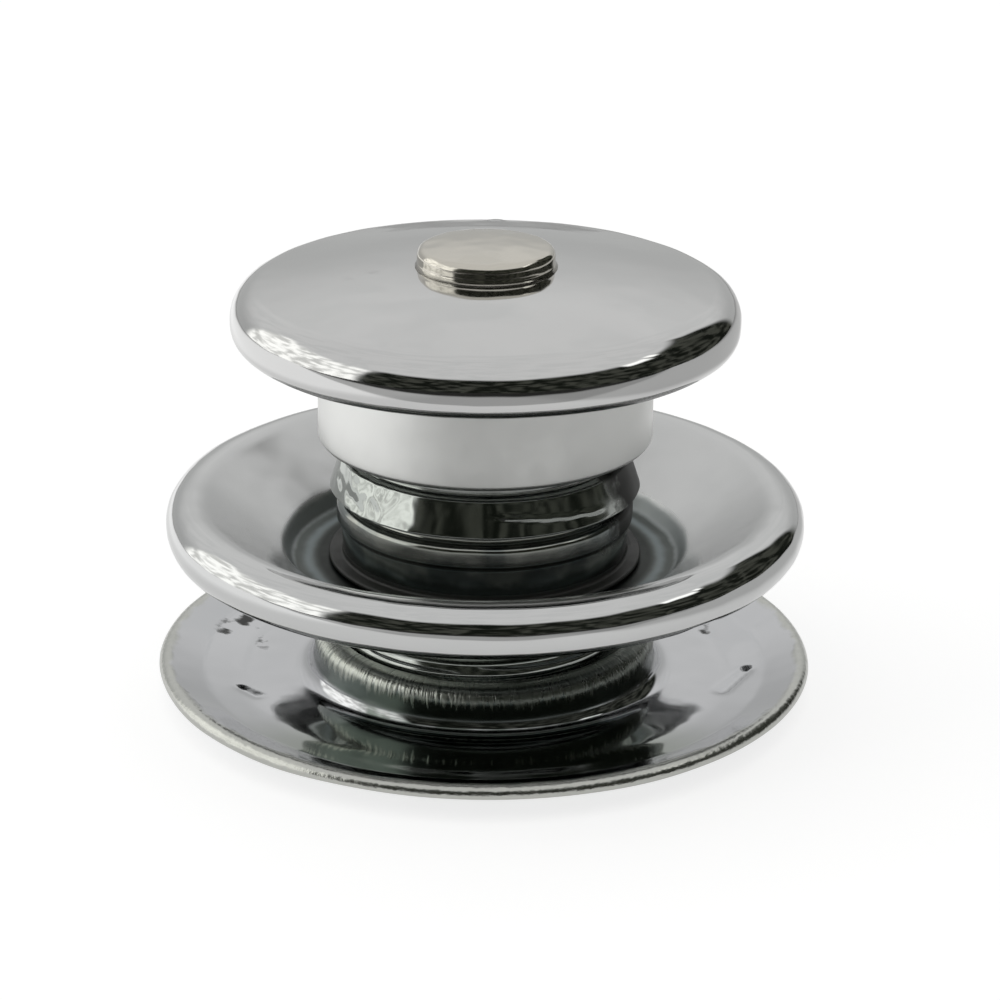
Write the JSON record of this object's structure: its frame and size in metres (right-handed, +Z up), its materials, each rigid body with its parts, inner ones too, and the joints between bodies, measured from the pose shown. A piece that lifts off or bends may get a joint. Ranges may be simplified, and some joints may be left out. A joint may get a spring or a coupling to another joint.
{
  "type": "snap fastener",
  "caption": "Chrome pull-release snap fastener, socket half: domed pull knob on a short neck, threaded barrel with a ball lock, and round flanges that clamp cloth.",
  "frame": {"origin": "on the axis, in the plane of the flat ring that the lower flange stands on", "axes": "+Z up along the axis, from the stud's side to the pull knob"},
  "size_m": [0.0186, 0.0186, 0.0129],
  "materials": {
    "lower_flange_chrome": "bright chrome plate, slightly wavy",
    "upper_flange_chrome": "bright chrome plate, slightly wavy",
    "barrel_chrome": "bright chrome plate over a turned thread",
    "knob_chrome": "bright chrome plate, slightly wavy",
    "pin_nickel": "smooth nickel",
    "bush_brass": "turned",
    "cage_brass": "turned",
    "spring_steel": "drawn wire",
    "ball_steel": "polished"
  },
  "bodies": {
    "lower_flange": {"lower_flange": "lower_flange_chrome"},
    "upper_flange": {"upper_flange": "upper_flange_chrome"},
    "barrel": {"barrel": "barrel_chrome", "guide_bush": "bush_brass", "return_spring": "spring_steel"},
    "cage": {"ball_cage": "cage_brass"},
    "knob": {"pull_knob": "knob_chrome", "knob_pin": "pin_nickel"},
    "ball_1": {"lock_ball_1": "ball_steel"},
    "ball_2": {"lock_ball_2": "ball_steel"},
    "ball_3": {"lock_ball_3": "ball_steel"},
    "ball_4": {"lock_ball_4": "ball_steel"},
    "ball_5": {"lock_ball_5": "ball_steel"},
    "ball_6": {"lock_ball_6": "ball_steel"}
  },
  "joints": [
    {"name": "flange_gap", "type": "slide", "parent": "lower_flange", "child": "upper_flange", "axis": [0, 0, 1], "range_m": [-0.0009, 0.0004]},
    {"name": "barrel_turn", "type": "hinge", "parent": "upper_flange", "child": "barrel", "pos_m": [0, 0, 0], "axis": [0, 0, 1], "range_deg": [-648.5, 288.5]},
    {"name": "cage_lift", "type": "slide", "parent": "barrel", "child": "cage", "axis": [0, 0, 1], "range_m": [0, 0.0015], "stiffness_N_per_m": 800, "springref_m": -0.003, "deforming": ["return_spring"]},
    {"name": "knob_spin", "type": "hinge", "parent": "cage", "child": "knob", "pos_m": [0, 0, 0], "axis": [0, 0, 1], "continuous": true},
    {"name": "ball_1_out", "type": "slide", "parent": "cage", "child": "ball_1", "axis": [0.866, 0.5, 0], "range_m": [0, 0.00028]},
    {"name": "ball_2_out", "type": "slide", "parent": "cage", "child": "ball_2", "axis": [0, 1, 0], "range_m": [0, 0.00028]},
    {"name": "ball_3_out", "type": "slide", "parent": "cage", "child": "ball_3", "axis": [-0.866, 0.5, 0], "range_m": [0, 0.00028]},
    {"name": "ball_4_out", "type": "slide", "parent": "cage", "child": "ball_4", "axis": [-0.866, -0.5, 0], "range_m": [0, 0.00028]},
    {"name": "ball_5_out", "type": "slide", "parent": "cage", "child": "ball_5", "axis": [0, -1, 0], "range_m": [0, 0.00028]},
    {"name": "ball_6_out", "type": "slide", "parent": "cage", "child": "ball_6", "axis": [0.866, -0.5, 0], "range_m": [0, 0.00028]}
  ],
  "couplings": [
    {"joint": "barrel_turn", "follows": "flange_gap", "rad_per_m": 12566},
    {"joint": "ball_1_out", "follows": "cage_lift", "ratio": 0.18},
    {"joint": "ball_2_out", "follows": "cage_lift", "ratio": 0.18},
    {"joint": "ball_3_out", "follows": "cage_lift", "ratio": 0.18},
    {"joint": "ball_4_out", "follows": "cage_lift", "ratio": 0.18},
    {"joint": "ball_5_out", "follows": "cage_lift", "ratio": 0.18},
    {"joint": "ball_6_out", "follows": "cage_lift", "ratio": 0.18}
  ]
}
